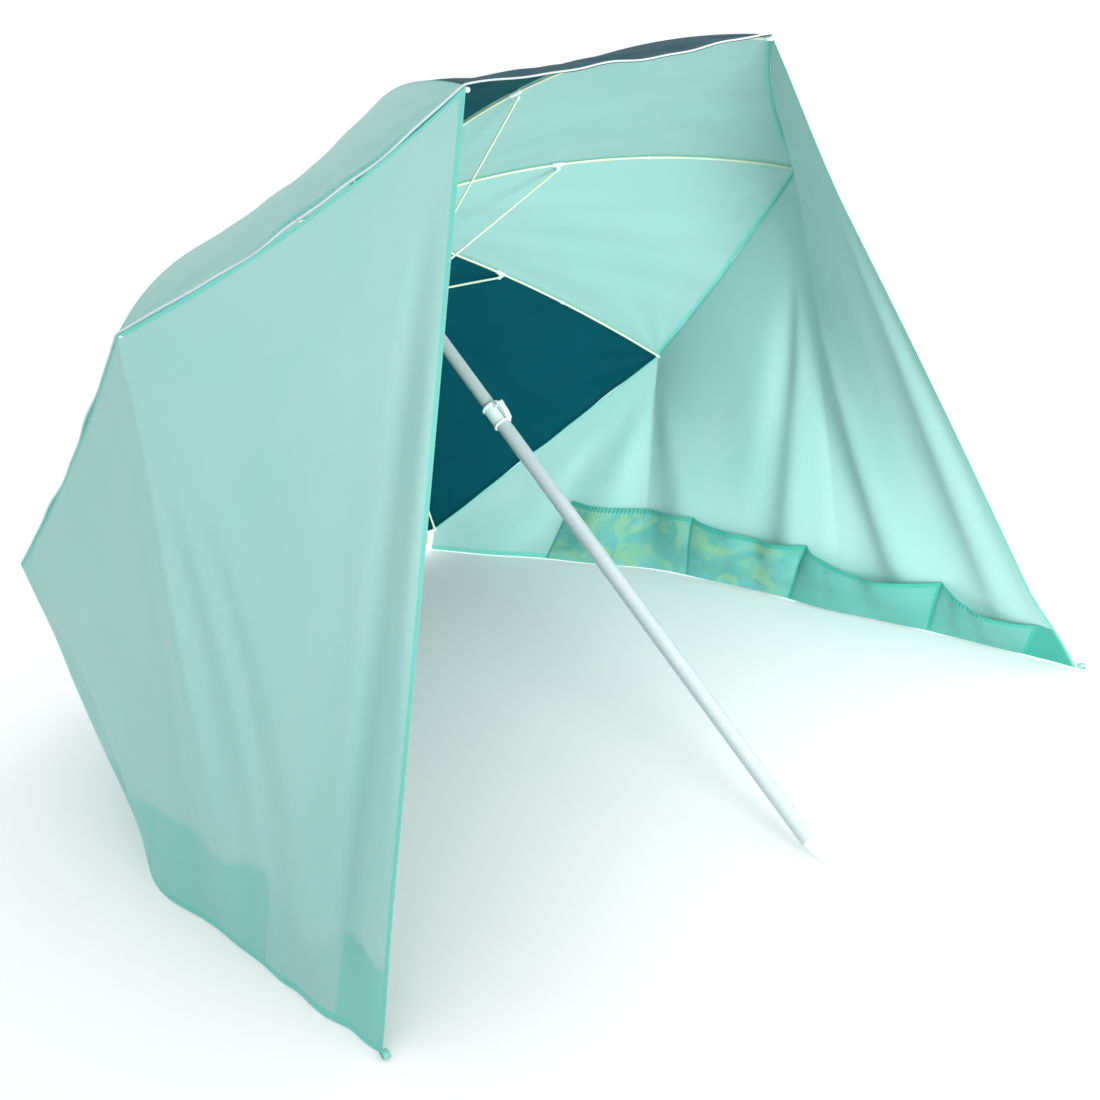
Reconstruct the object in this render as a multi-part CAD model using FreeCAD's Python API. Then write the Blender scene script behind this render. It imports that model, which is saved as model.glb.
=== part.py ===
import FreeCAD, Part

import math
import os

from FreeCAD import Vector

# A beach umbrella that lies tilted on its pole, with two hanging side walls that
# make it a small shelter. Millimetres, +Z up, the ground is z = 0.
#
# The origin is the tip of the ground spike. +X runs across the open front, +Y runs
# back from the spike, under the canopy.
#
# Two frames are used. The pole frame has its z along the pole, measured from the
# spike's tip, its x up and forward across the pole, and its y along row +X. Round
# parts are made there and then laid into the row frame. Cloth is made in the row frame.

# ---- how it stands -------------------------------------------------------------
POLE_RISE = 36.5  # degrees from the ground up to the pole

# ---- pole ----------------------------------------------------------------------
LOWER_TUBE_R = 12.5
LOWER_TUBE_WALL = 1.0
UPPER_TUBE_R = 11.0
UPPER_TUBE_WALL = 1.2
TUBE_CLEARANCE = 0.3  # between the upper tube and what it slides through
SPIKE_LENGTH = 52.0
SPIKE_PLUG = 40.0
LOWER_TUBE_TOP = 905.0
UPPER_TUBE_FOOT = 285.0
BUSH_LENGTH = 14.0

# ---- collar and its lever ------------------------------------------------------
COLLAR_FOOT = 885.0
COLLAR_LENGTH = 40.0
NECK_DEPTH = 0.3  # the lower tube's end is drawn in by this much where the collar holds it
NECK_STEP = 1.0  # the neck starts this far below the collar
COLLAR_WALL = 1.8
FLANGE_HEIGHT = 4.0
FLANGE_STAND = 1.8  # how far a flange stands out of the collar
LEVER_AZIMUTH = 12.0
LEVER_LENGTH = 33.0
LEVER_WIDTH = 12.0
LEVER_CLEARANCE = 0.5
LEVER_PIN_R = 1.5
LEVER_PIN_DROP = 8.0  # pin below the collar's top
EAR_WIDTH = 2.0

# ---- crown, runner and frame ---------------------------------------------------
RIB_COUNT = 8
FIRST_RIB = 22.5  # degrees, the front right rib
RIB_SHIFT = {1: -1.7}  # degrees by which a rib stands off even spacing
RIB_EXTRA = {1: 9.0}  # millimetres by which its tip stands further out
RIM_HEIGHT = 1047.0  # mean height of the rib tips along the pole
RIM_RADIUS = 760.0
CROWN_RISE = 304.0  # rib pivots above the rim
TIP_REACH = (-36.0, 7.0)  # the tips' radius varies round the rim: cos a, cos 2a
TIP_LIFT = (-47.0, -11.0)  # and so does their height, as the walls pull and the ground pushes
STRUT_JOINT_R = 372.0
STRUT_JOINT_DROP = 81.0  # below the rib pivots
RUNNER_RISE = 141.0  # strut pivots above the rim
RIB_R = 2.25
STRUT_R = 1.9
RING_RADIUS = 20.0
WIRE_R = 1.1
EYE_R = 3.7
EYE_HOLE_R = 1.9
EYE_THICKNESS = 2.4
STRUT_OFFSET = 6.8  # struts lie beside their ribs, clear of them through the fold
PIVOT_DROP = 6.0  # strut pivot below the rib's middle
FLANGE_R = 25.0
FLANGE_THICKNESS = 8.0
NOTCH_CLEARANCE = 0.55
HUB_R = 14.5
CLIP_R = 4.2
CLIP_LENGTH = 20.0
RING_CLIP_LENGTH = 7.0
RING_CLIP_AT = 0.66  # share of the rib's arc from the crown
CAP_R = 3.6
CAP_LENGTH = 9.0
RIVET_R = 2.4
RUNNER_FOOT = 38.0  # sleeve below the strut pivots
BUTTON_R = 3.5
BUTTON_DROP = 26.0  # button below the strut pivots
BUTTON_STAND = 21.5
BUTTON_TRAVEL = 2.0
FINIAL_R = 23.0
STEM_R = 8.0

# ---- cloth ---------------------------------------------------------------------
CLOTH = 0.8
CANOPY_LIFT = 5.6  # middle of the canopy over the middle of a rib
# By panel, which has the number of the rib before it: how far the hem curves in between its
# two tips, and how far the wall draws it towards the pole there.
SCALLOP = {3: 10.0, 4: 10.0, 7: 20.0}
HEM_SAG = {1: 20.0, 2: 10.0, 6: 12.0, 7: -5.0}
SEAM_GAP = 0.5  # between cloth on different bodies
HEM_GAP = 6.0  # between the canopy's hem and the wall's top edge
GROUND_CLEAR = 3.0
POCKET_HEIGHT = {0: 100.0, 7: 125.0, 6: 125.0, 1: 155.0, 2: 155.0, 3: 155.0}  # along the wall, by rib
POCKET_STAND = 5.0
TAB_SIZE = (16.0, 24.0)

# Where the walls meet the ground, from the front corner to the back: x, y.
RIGHT_FOOT = ((800, 69), (737, 340), (657, 618), (595, 839), (442, 1109), (304, 1322))
LEFT_FOOT = ((-722, 155), (-734, 380), (-738, 550), (-741, 700), (-640, 850), (-458, 1109),
             (-304, 1322))
# How much of the way along its foot a wall is under each of its ribs.
RIGHT_FOOT_SHARES = (0.0, 1 / 3, 2 / 3, 1.0)
LEFT_FOOT_SHARES = (0.0, 0.235, 0.5, 1.0)  # it is drawn forward from its third rib to a corner

# ---- the fold ------------------------------------------------------------------
POLE_TRAVEL = 520.0
FOLDED_TIP_R = 48.0

# Rib 0 is the front right one, and they count on round by way of the front left.
RIGHT_RIBS = (0, 7, 6, 5)
LEFT_RIBS = (1, 2, 3, 4)

CROWN_Z = RIM_HEIGHT + CROWN_RISE
RUNNER_Z = RIM_HEIGHT + RUNNER_RISE
COLLAR_TOP = COLLAR_FOOT + COLLAR_LENGTH
COLLAR_R = LOWER_TUBE_R + COLLAR_WALL
NECK_R = LOWER_TUBE_R - NECK_DEPTH
NECK_FOOT = COLLAR_FOOT - NECK_STEP
COLLAR_FLANGE_R = COLLAR_R + FLANGE_STAND
UP = Vector(0, 0, 1)


# ---- frames and small helpers --------------------------------------------------
def pole_to_row():
    """The placement that lays the pole frame into the row frame."""
    rise = math.radians(POLE_RISE)
    s, c = math.sin(rise), math.cos(rise)
    return FreeCAD.Placement(FreeCAD.Matrix(0, 1, 0, 0, -s, 0, c, 0, c, 0, s, 0, 0, 0, 0, 1))


def row(point):
    """A point of the pole frame in the row frame."""
    return pole_to_row().multVec(point)


def row_way(direction):
    """A direction of the pole frame in the row frame."""
    return pole_to_row().Rotation.multVec(direction)


def azimuth(k):
    return math.radians(FIRST_RIB - 360.0 / RIB_COUNT * k + RIB_SHIFT.get(k, 0.0))


def outward(angle):
    return Vector(math.cos(angle), math.sin(angle), 0)


def sideways(angle):
    return Vector(-math.sin(angle), math.cos(angle), 0)


def at(angle, radius, z, side=0.0):
    """A pole-frame point from its azimuth, its reach, its height and its sideways offset."""
    return outward(angle) * radius + sideways(angle) * side + UP * z


def rod(foot, radius, length, way=UP):
    return Part.makeCylinder(radius, length, foot, way)


def tube(foot, outer, inner, length, way=UP):
    return rod(foot, outer, length, way).cut(rod(foot, inner, length, way))


def block(angle, radius_from, radius_to, width, z_from, z_to, side=0.0):
    """A box whose length runs outward at an azimuth."""
    box = Part.makeBox(radius_to - radius_from, width, z_to - z_from)
    box.translate(Vector(radius_from, side - width / 2, z_from))
    box.rotate(Vector(0, 0, 0), UP, math.degrees(angle))
    return box


def one(shape):
    """A shape without the seams that its making left in it."""
    return shape.removeSplitter()


# ---- ribs as curves ------------------------------------------------------------
def tip(k):
    a = azimuth(k)
    reach = RIM_RADIUS + TIP_REACH[0] * math.cos(a) + TIP_REACH[1] * math.cos(2 * a)
    lift = TIP_LIFT[0] * math.cos(a) + TIP_LIFT[1] * math.cos(2 * a)
    return at(a, reach + RIB_EXTRA.get(k, 0.0), RIM_HEIGHT + lift)


def rib_pivot(k):
    return at(azimuth(k), RING_RADIUS, CROWN_Z)


def rib_arc(k):
    """The middle line of a rib: one arc from its pivot over the strut joint to its tip."""
    joint = at(azimuth(k), STRUT_JOINT_R, CROWN_Z - STRUT_JOINT_DROP)
    return Part.Arc(rib_pivot(k), joint, tip(k))


def rib_point(k, share, lift=0.0):
    """A point at a share of the rib's length, lifted off it on the canopy's side."""
    arc = rib_arc(k).toShape()
    u = arc.FirstParameter + share * (arc.LastParameter - arc.FirstParameter)
    along = arc.tangentAt(u)
    return arc.valueAt(u) + along.cross(sideways(azimuth(k))) * lift


def joint_share(k):
    """Where the strut joint is, as a share of the rib's length."""
    curve = rib_arc(k)
    joint = at(azimuth(k), STRUT_JOINT_R, CROWN_Z - STRUT_JOINT_DROP)
    first, last = curve.FirstParameter, curve.LastParameter
    return (curve.parameter(joint) - first) / (last - first)


def strut_foot(k):
    """The strut's pivot on the runner's ring."""
    reach = math.sqrt(RING_RADIUS**2 - STRUT_OFFSET**2)
    return at(azimuth(k), reach, RUNNER_Z, STRUT_OFFSET)


def strut_head(k):
    """The strut's pivot at its rib, beside the clip."""
    return rib_point(k, joint_share(k), -PIVOT_DROP) + sideways(azimuth(k)) * STRUT_OFFSET


# ---- the fold's angles ---------------------------------------------------------
def reach_and_height(point, k):
    return point.dot(outward(azimuth(k))), point.z


def turned(point, about, angle):
    """(reach, height) turned down and in about another."""
    r, z = point[0] - about[0], point[1] - about[1]
    c, s = math.cos(angle), math.sin(angle)
    return about[0] + r * c + z * s, about[1] - r * s + z * c


def rib_fold(k):
    """How far a rib turns down to lie along the pole, in radians."""
    pivot, end = reach_and_height(rib_pivot(k), k), reach_and_height(tip(k), k)
    r, z = end[0] - pivot[0], end[1] - pivot[1]
    return math.acos((FOLDED_TIP_R - pivot[0]) / math.hypot(r, z)) - math.atan2(-z, r)


def folded_head(k):
    """(reach, height) of a strut's head once its rib has folded."""
    pivot = reach_and_height(rib_pivot(k), k)
    return turned(reach_and_height(strut_head(k), k), pivot, rib_fold(k))


def runner_drop():
    """How far the runner slides down the upper tube to fold the frame."""
    drops = []
    for k in range(RIB_COUNT):
        foot, head = strut_foot(k), strut_head(k)
        r, z = folded_head(k)
        reach = r - reach_and_height(foot, k)[0]
        drops.append(RUNNER_Z - z + math.sqrt((head - foot).Length ** 2 - reach**2))
    return sum(drops) / len(drops)


def strut_fold(k):
    """How far a strut turns up to lie along the pole, in radians."""
    foot, head = reach_and_height(strut_foot(k), k), reach_and_height(strut_head(k), k)
    r, z = folded_head(k)
    now = math.atan2(head[1] - foot[1], head[0] - foot[0])
    return math.atan2(z - foot[1] + runner_drop(), r - foot[0]) - now


def wall_fold(k):
    """How far a wall strip turns on its rib tip, so that it ends along the pole, in radians."""
    chain, start, end = strip_span(k)
    drop = wall_point(chain, (start + end) / 2, 1.0) - row(tip(k))
    inward = math.atan2(-drop.dot(row_way(outward(azimuth(k)))), -drop.dot(row_way(UP)))
    return rib_fold(k) + inward


# ---- pole ----------------------------------------------------------------------
def ground_spike():
    cone = Part.makeCone(0, LOWER_TUBE_R - 0.3, SPIKE_LENGTH)
    plug = rod(UP * SPIKE_LENGTH, LOWER_TUBE_R - LOWER_TUBE_WALL, SPIKE_PLUG)
    return cone.fuse(plug)


def lower_tube():
    length = LOWER_TUBE_TOP - SPIKE_LENGTH
    shape = tube(UP * SPIKE_LENGTH, LOWER_TUBE_R, LOWER_TUBE_R - LOWER_TUBE_WALL, length)
    return shape.cut(tube(UP * NECK_FOOT, COLLAR_R, NECK_R, LOWER_TUBE_TOP - NECK_FOOT))


def upper_tube():
    length = crown_socket() - UPPER_TUBE_FOOT
    return tube(UP * UPPER_TUBE_FOOT, UPPER_TUBE_R, UPPER_TUBE_R - UPPER_TUBE_WALL, length)


def guide_bush():
    """Closes the upper tube's foot and slides in the lower tube."""
    rim = LOWER_TUBE_R - LOWER_TUBE_WALL - 0.15
    foot = UP * (UPPER_TUBE_FOOT - BUSH_LENGTH)
    ring = rod(foot, rim, BUSH_LENGTH)
    spigot = rod(UP * UPPER_TUBE_FOOT, UPPER_TUBE_R - UPPER_TUBE_WALL, BUSH_LENGTH)
    return ring.fuse(spigot)


def lever_pin_place():
    z = COLLAR_TOP - LEVER_PIN_DROP
    return math.radians(LEVER_AZIMUTH), COLLAR_FLANGE_R + LEVER_CLEARANCE + 2.8, z


def collar_sleeve():
    shape = rod(UP * COLLAR_FOOT, COLLAR_R, COLLAR_LENGTH)
    for z in (COLLAR_FOOT, COLLAR_TOP - FLANGE_HEIGHT):
        ring = rod(UP * z, COLLAR_FLANGE_R, FLANGE_HEIGHT)
        shape = shape.fuse(ring.makeFillet(FLANGE_HEIGHT / 3, [ring.Edges[0], ring.Edges[2]]))
    angle, reach, z = lever_pin_place()
    for side in (-1, 1):
        ear = block(angle, 0, reach + 2.8, EAR_WIDTH, z - 5, z + 3,
                    side * (LEVER_WIDTH / 2 + LEVER_CLEARANCE + EAR_WIDTH / 2))
        shape = shape.fuse(ear)
    shape = shape.cut(rod(UP * COLLAR_FOOT, NECK_R, LOWER_TUBE_TOP - COLLAR_FOOT))
    shape = shape.cut(rod(UP * LOWER_TUBE_TOP, UPPER_TUBE_R + TUBE_CLEARANCE, COLLAR_LENGTH))
    return one(shape.cut(lever_pin_hole(LEVER_PIN_R)))


def lever_pin_hole(radius):
    angle, reach, z = lever_pin_place()
    length = LEVER_WIDTH + 2 * (LEVER_CLEARANCE + EAR_WIDTH)
    return rod(at(angle, reach, z, -length / 2), radius, length, sideways(angle))


def collar_lever():
    """A thumb lever: a long arched tab that tapers to its lower end."""
    angle, reach, z = lever_pin_place()
    low, thin = z - LEVER_LENGTH, reach - 2.2
    inner, outer = reach - 2.8, reach + 2.8
    side = -LEVER_WIDTH / 2
    corners = [at(angle, r, h, side) for r, h in ((inner, z), (inner, low), (thin + 1, low))]
    bulge = at(angle, outer + 0.6, z - LEVER_LENGTH / 2.4, side)
    top = at(angle, outer, z, side)
    crown = at(angle, reach, z + 2.8, side)
    edges = [
        Part.LineSegment(corners[0], corners[1]).toShape(),
        Part.LineSegment(corners[1], corners[2]).toShape(),
        Part.Arc(corners[2], bulge, top).toShape(),
        Part.Arc(top, crown, corners[0]).toShape(),
    ]
    body = Part.Face(Part.Wire(edges)).extrude(sideways(angle) * LEVER_WIDTH)
    return body.cut(lever_pin_hole(LEVER_PIN_R + 0.06))


# ---- crown and runner ----------------------------------------------------------
def wire_ring(z, clearance=0.0):
    return Part.makeTorus(RING_RADIUS, WIRE_R + clearance, UP * z)


def notched_flange(z, width, side):
    """A flange with one notch for each arm and a groove for the ring that the arms hang on."""
    shape = rod(UP * (z - FLANGE_THICKNESS / 2), FLANGE_R, FLANGE_THICKNESS)
    for k in range(RIB_COUNT):
        notch = block(azimuth(k), HUB_R - 1, FLANGE_R + 1, width, z - FLANGE_THICKNESS,
                      z + FLANGE_THICKNESS, side)
        shape = shape.cut(notch)
    return shape.cut(wire_ring(z, 0.02))


def crown_socket():
    """The height at which the upper tube ends, inside the crown."""
    return CROWN_Z - FLANGE_THICKNESS / 2


def crown_hub():
    depth = 14.0
    foot = UP * (crown_socket() - depth)
    flange = notched_flange(CROWN_Z, 2 * (RIB_R + NOTCH_CLEARANCE), 0)
    stem = rod(UP * crown_socket(), STEM_R, CANOPY_LIFT + 2 + FLANGE_THICKNESS / 2)
    shape = flange.fuse(rod(foot, HUB_R - 1, depth)).fuse(rod(UP * crown_socket(), HUB_R, 4)).fuse(stem)
    shape = shape.cut(rod(foot, UPPER_TUBE_R, depth))
    return one(shape.cut(rod(UP * CROWN_Z, 3, 20)))


def finial():
    seat = CROWN_Z + CANOPY_LIFT + 2
    disc = rod(UP * seat, FINIAL_R, 5)
    disc = disc.makeFillet(3.5, [disc.Edges[0]])
    knob = Part.makeSphere(9, UP * (seat + 9)).common(rod(UP * (seat + 2), 12, 20))
    return one(disc.fuse(knob).fuse(rod(UP * (seat - 6), 3, 7)))


def runner_body():
    width = 2 * (STRUT_R + NOTCH_CLEARANCE)
    shape = notched_flange(RUNNER_Z, width, STRUT_OFFSET)
    sleeve = rod(UP * (RUNNER_Z - RUNNER_FOOT), HUB_R - 0.5, RUNNER_FOOT + 9)
    shape = shape.fuse(sleeve)
    z = RUNNER_Z - BUTTON_DROP
    shape = shape.fuse(block(math.pi, 0, BUTTON_STAND - 3, 14, z - 7, z + 7))
    shape = shape.fuse(rod(UP * (RUNNER_Z - RUNNER_FOOT), HUB_R + 2, 4))
    shape = shape.cut(rod(UP * (RUNNER_Z - 60), UPPER_TUBE_R + TUBE_CLEARANCE, 100))
    return one(shape.cut(rod(Vector(0, 0, z), BUTTON_R + 0.15, 40, Vector(-1, 0, 0))))


def runner_button():
    inner = UPPER_TUBE_R + BUTTON_TRAVEL + 0.2
    foot = Vector(-inner, 0, RUNNER_Z - BUTTON_DROP)
    button = rod(foot, BUTTON_R, BUTTON_STAND - inner, Vector(-1, 0, 0))
    far = max(button.Edges, key=lambda e: -e.CenterOfMass.x)
    return button.makeFillet(1, [far])


# ---- ribs, struts and their fittings -------------------------------------------
def eye(centre, side, thickness):
    return rod(centre - side * (thickness / 2), EYE_R, thickness, side)


def eye_hole(centre, side):
    return rod(centre - side * 5, EYE_HOLE_R, 10, side)


def bent_bar(curve, radius):
    """A round bar along an arc of a circle, cut square at its ends."""
    path = curve.toShape()
    start, way = path.valueAt(path.FirstParameter), path.tangentAt(path.FirstParameter)
    section = Part.Face(Part.Wire(Part.makeCircle(radius, start, way)))
    turn = math.degrees(path.LastParameter - path.FirstParameter)
    return section.revolve(path.Curve.Center, path.Curve.Axis, turn)


def rib(k):
    side = sideways(azimuth(k))
    shape = bent_bar(rib_arc(k), RIB_R).fuse(eye(rib_pivot(k), side, EYE_THICKNESS))
    return one(shape.cut(eye_hole(rib_pivot(k), side)))


def strut(k):
    side = sideways(azimuth(k))
    foot, head = strut_foot(k), strut_head(k)
    way = (head - foot).normalize()
    shape = rod(foot + way * 2, STRUT_R, (head - foot).Length - 2, way)
    for centre in (foot, head):
        shape = shape.fuse(eye(centre, side, EYE_THICKNESS))
    rivet = rod(head + side * (EYE_THICKNESS / 2), RIVET_R, 1.4, side)
    return one(shape.fuse(rivet).cut(eye_hole(foot, side)))


def along_rib(k, share):
    """The rib's direction there, towards its tip."""
    return (rib_point(k, share + 0.004) - rib_point(k, share - 0.004)).normalize()


def sleeve_on_rib(k, share, radius, length, top):
    """A short plastic sleeve round the rib, cut flat on the canopy's side."""
    way, middle = along_rib(k, share), rib_point(k, share)
    off = way.cross(sideways(azimuth(k)))
    foot = middle - way * (length / 2)
    shape = rod(foot, radius, length, way)
    lid = rod(middle + off * top, 3 * radius + length, 3 * radius, off)
    return shape.cut(lid).cut(rod(foot - way, RIB_R + 0.1, length + 2, way))


def rib_fittings(k):
    """The strut clip with its rivet boss, the ring clip further out, and the end cap."""
    share, side = joint_share(k), sideways(azimuth(k))
    clip = sleeve_on_rib(k, share, CLIP_R, CLIP_LENGTH, RIB_R + 0.7)
    boss_foot = strut_head(k) - side * (STRUT_OFFSET - CLIP_R - 0.2)
    boss = rod(strut_head(k) - side * STRUT_OFFSET, 4.4, CLIP_R + 0.2, side)
    boss = boss.cut(rod(boss_foot - side * 0.6, 1.2, 2, side))
    bore = rod(rib_point(k, share) - along_rib(k, share) * 20, RIB_R + 0.1, 40, along_rib(k, share))
    clip = one(clip.fuse(boss).cut(bore))
    ring = sleeve_on_rib(k, RING_CLIP_AT, CLIP_R - 0.9, RING_CLIP_LENGTH, RIB_R + 0.7)
    end, way = tip(k), along_rib(k, 0.995)
    cap = rod(end - way * (CAP_LENGTH - 3), CAP_R, CAP_LENGTH, way)
    cap = cap.makeFillet(1.6, [max(cap.Edges, key=lambda e: e.CenterOfMass.dot(way))])
    cap = cap.cut(rod(end - way * CAP_LENGTH, RIB_R + 0.1, CAP_LENGTH + 0.2, way))
    return Part.makeCompound([clip, ring, cap])


# ---- cloth ---------------------------------------------------------------------
def cloth_sheet(grid, thickness=CLOTH):
    """A closed solid of even thickness about a grid of points, made of flat triangles."""
    rows, columns = len(grid), len(grid[0])

    def normal(i, j):
        down = grid[min(i + 1, rows - 1)][j] - grid[max(i - 1, 0)][j]
        across = grid[i][min(j + 1, columns - 1)] - grid[i][max(j - 1, 0)]
        return down.cross(across).normalize()

    half = thickness / 2
    upper = [[grid[i][j] + normal(i, j) * half for j in range(columns)] for i in range(rows)]
    lower = [[grid[i][j] - normal(i, j) * half for j in range(columns)] for i in range(rows)]
    rim = [(i, 0) for i in range(rows)] + [(rows - 1, j) for j in range(1, columns)]
    rim += [(i, columns - 1) for i in range(rows - 2, -1, -1)]
    rim += [(0, j) for j in range(columns - 2, 0, -1)]
    triangles = []
    for skin in (upper, lower):
        for i in range(rows - 1):
            for j in range(columns - 1):
                a, b, c, d = skin[i][j], skin[i + 1][j], skin[i + 1][j + 1], skin[i][j + 1]
                triangles += [(a, b, c), (a, c, d)]
    for n, (i, j) in enumerate(rim):
        i2, j2 = rim[(n + 1) % len(rim)]
        a, b, c, d = upper[i][j], upper[i2][j2], lower[i2][j2], lower[i][j]
        triangles += [(a, b, c), (a, c, d)]
    faces = [Part.Face(Part.makePolygon([a, b, c, a])) for a, b, c in triangles]
    shell = Part.makeShell(faces)
    shell.sewShape()
    solid = Part.Solid(shell)
    if solid.Volume < 0:
        solid.reverse()
    return solid


def between(a, b, share):
    return a + (b - a) * share


def panel_point(k, share, across):
    """Across runs from rib k, 0, towards the next rib, +1, or the one before, -1."""
    neighbour = (k + (1 if across >= 0 else -1)) % RIB_COUNT
    panel = k if across >= 0 else neighbour
    t = abs(across)
    bow = 4 * t * (1 - t)
    inset = share * (1 - bow * SCALLOP.get(panel, 0.0) / RIM_RADIUS)
    lift = CANOPY_LIFT - bow * HEM_SAG.get(panel, 0.0) * share**3
    return between(rib_point(k, inset, lift), rib_point(neighbour, inset, lift), t)


def canopy(k, rows=9, columns=5):
    """The cloth that hangs on one rib, out to the middle of the panel on each side."""
    grid = []
    for i in range(rows):
        share = i / (rows - 1)
        line = []
        for j in range(columns):
            across = j / (columns - 1) - 0.5
            width = (panel_point(k, share, 0.5) - panel_point(k, share, 0)).Length
            limit = 0.5 * (1 - SEAM_GAP / width)
            line.append(row(panel_point(k, share, max(-limit, min(limit, across)))))
        grid.append(line)
    return cloth_sheet(grid)


def rim_point(ribs, place):
    """The wall's top edge, just past the hem. Place runs from 0 at the front tip to 3 at the rear."""
    n = min(int(place), len(ribs) - 2)
    way = 1 if (ribs[n] + 1) % RIB_COUNT == ribs[n + 1] else -1
    return row(panel_point(ribs[n], 1 + HEM_GAP / RIM_RADIUS, way * (place - n)))


def foot_point(ribs, place):
    """Where the wall meets the ground under that place of the rim."""
    if ribs is RIGHT_RIBS:
        corners, shares = RIGHT_FOOT, RIGHT_FOOT_SHARES
    else:
        corners, shares = LEFT_FOOT, LEFT_FOOT_SHARES
    n = min(int(place), len(ribs) - 2)
    share = shares[n] + (shares[n + 1] - shares[n]) * (place - n)
    curve = Part.BSplineCurve()
    curve.interpolate([Vector(x, y, GROUND_CLEAR) for x, y in corners])
    return curve.value(curve.FirstParameter + share * curve.LastParameter)


def wall_point(ribs, place, down):
    return between(rim_point(ribs, place), foot_point(ribs, place), down)


def strip_span(k):
    """A rib's wall strip: the side's ribs, and where the strip starts and ends."""
    ribs = RIGHT_RIBS if k in RIGHT_RIBS else LEFT_RIBS
    n = ribs.index(k)
    return ribs, max(n - 0.5, 0), min(n + 0.5, len(ribs) - 1)


def strip_grid(k, down_from, rows, columns, lift=0.0):
    """Points over a strip, short of its neighbours by half a seam gap."""
    ribs, start, end = strip_span(k)
    length = (rim_point(ribs, end) - rim_point(ribs, start)).Length
    trim = SEAM_GAP / length
    inner_start = start + (trim if start > 0 else 0)
    inner_end = end - (trim if end < len(ribs) - 1 else 0)
    centre = row(UP * RIM_HEIGHT)
    grid = []
    for i in range(rows):
        line = []
        for j in range(columns):
            place = inner_start + (inner_end - inner_start) * j / (columns - 1)
            top, foot = rim_point(ribs, place), foot_point(ribs, place)
            first = down_from(top, foot)
            point = between(top, foot, first + (1 - first) * i / (rows - 1))
            level = Vector(centre.x - point.x, centre.y - point.y, 0).normalize()
            line.append(point + level * lift)
        grid.append(line)
    return grid


def wall(k):
    return cloth_sheet(strip_grid(k, lambda top, foot: 0.0, 9, 9))


def pocket(k):
    """The sand pockets' cloth, flat against the foot of the wall on its inside."""

    def start(top, foot):
        return 1 - min(0.9, POCKET_HEIGHT[k] / (top - foot).Length)

    return cloth_sheet(strip_grid(k, start, 3, 9, POCKET_STAND))


def size_tab():
    """A small woven tab sewn into the hem beside the rear right tip."""
    ribs = RIGHT_RIBS
    top = rim_point(ribs, len(ribs) - 1) + Vector(-14, 4, -6)
    width, height = TAB_SIZE
    grid = [[top + Vector(-width * j, 0, -height * i) for j in (0, 1)] for i in (0, 0.5, 1)]
    return cloth_sheet(grid)


# ---- write every node ----------------------------------------------------------
def pole_nodes():
    return {
        "ground_spike": ground_spike(),
        "lower_tube": lower_tube(),
        "collar_sleeve": collar_sleeve(),
        "collar_lever": collar_lever(),
        "collar_lever_pin": lever_pin_hole(LEVER_PIN_R),
        "upper_tube": upper_tube(),
        "guide_bush": guide_bush(),
        "crown_hub": crown_hub(),
        "crown_ring": wire_ring(CROWN_Z),
        "finial": finial(),
        "runner_body": runner_body(),
        "runner_ring": wire_ring(RUNNER_Z),
        "runner_button": runner_button(),
    }


def frame_nodes():
    made = {}
    for k in range(RIB_COUNT):
        made[f"rib_{k}"] = rib(k)
        made[f"strut_{k}"] = strut(k)
        made[f"rib_fittings_{k}"] = rib_fittings(k)
    return made


def cloth_nodes():
    made = {"size_tab": size_tab()}
    for k in range(RIB_COUNT):
        made[f"canopy_{k}"] = canopy(k)
        made[f"wall_{k}"] = wall(k)
    for ribs in (RIGHT_RIBS, LEFT_RIBS):
        for k in ribs[:-1]:
            made[f"pocket_{k}"] = pocket(k)
    return made


def main():
    os.makedirs("parts", exist_ok=True)
    laid = {}
    for name, shape in {**pole_nodes(), **frame_nodes()}.items():
        shape.Placement = pole_to_row().multiply(shape.Placement)
        laid[name] = shape
    laid.update(cloth_nodes())
    for name, shape in laid.items():
        if not shape.isValid() or shape.Volume <= 0:
            print("BAD", name, shape.isValid(), shape.Volume)
        shape.exportStep(f"parts/{name}.step")
    print(len(laid), "nodes")


if __name__ == "__main__":
    main()
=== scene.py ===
# %% [markdown]
# # A beach umbrella with side walls, as a lesson in thin cloth
#
# The real thing is a dome of eight cloth panels sewn together, held open by eight curved
# rods, and two long cloth walls that hang from its rim to the ground. Nearly all of what
# is seen is cloth less than a millimetre thick, so most of this lesson is about sheets.
#
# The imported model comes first. It gives the pole, the ribs and their fittings, and a plain
# stand-in for each piece of cloth. Each stand-in is replaced here by a finer sheet.

import math

import bpy
import numpy as np
from mathutils import Matrix


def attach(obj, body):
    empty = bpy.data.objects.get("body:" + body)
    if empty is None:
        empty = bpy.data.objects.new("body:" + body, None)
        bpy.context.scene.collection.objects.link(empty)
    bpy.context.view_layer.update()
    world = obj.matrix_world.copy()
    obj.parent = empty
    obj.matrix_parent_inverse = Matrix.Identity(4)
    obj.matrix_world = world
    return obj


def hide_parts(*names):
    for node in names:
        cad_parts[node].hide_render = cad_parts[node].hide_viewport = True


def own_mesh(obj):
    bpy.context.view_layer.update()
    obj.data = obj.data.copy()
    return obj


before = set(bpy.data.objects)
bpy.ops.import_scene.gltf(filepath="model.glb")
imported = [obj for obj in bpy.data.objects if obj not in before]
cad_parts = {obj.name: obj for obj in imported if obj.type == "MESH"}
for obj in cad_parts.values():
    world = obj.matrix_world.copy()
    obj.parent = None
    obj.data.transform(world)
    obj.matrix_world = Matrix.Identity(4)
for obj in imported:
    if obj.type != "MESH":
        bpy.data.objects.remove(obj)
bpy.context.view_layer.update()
scene = bpy.context.scene

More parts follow.
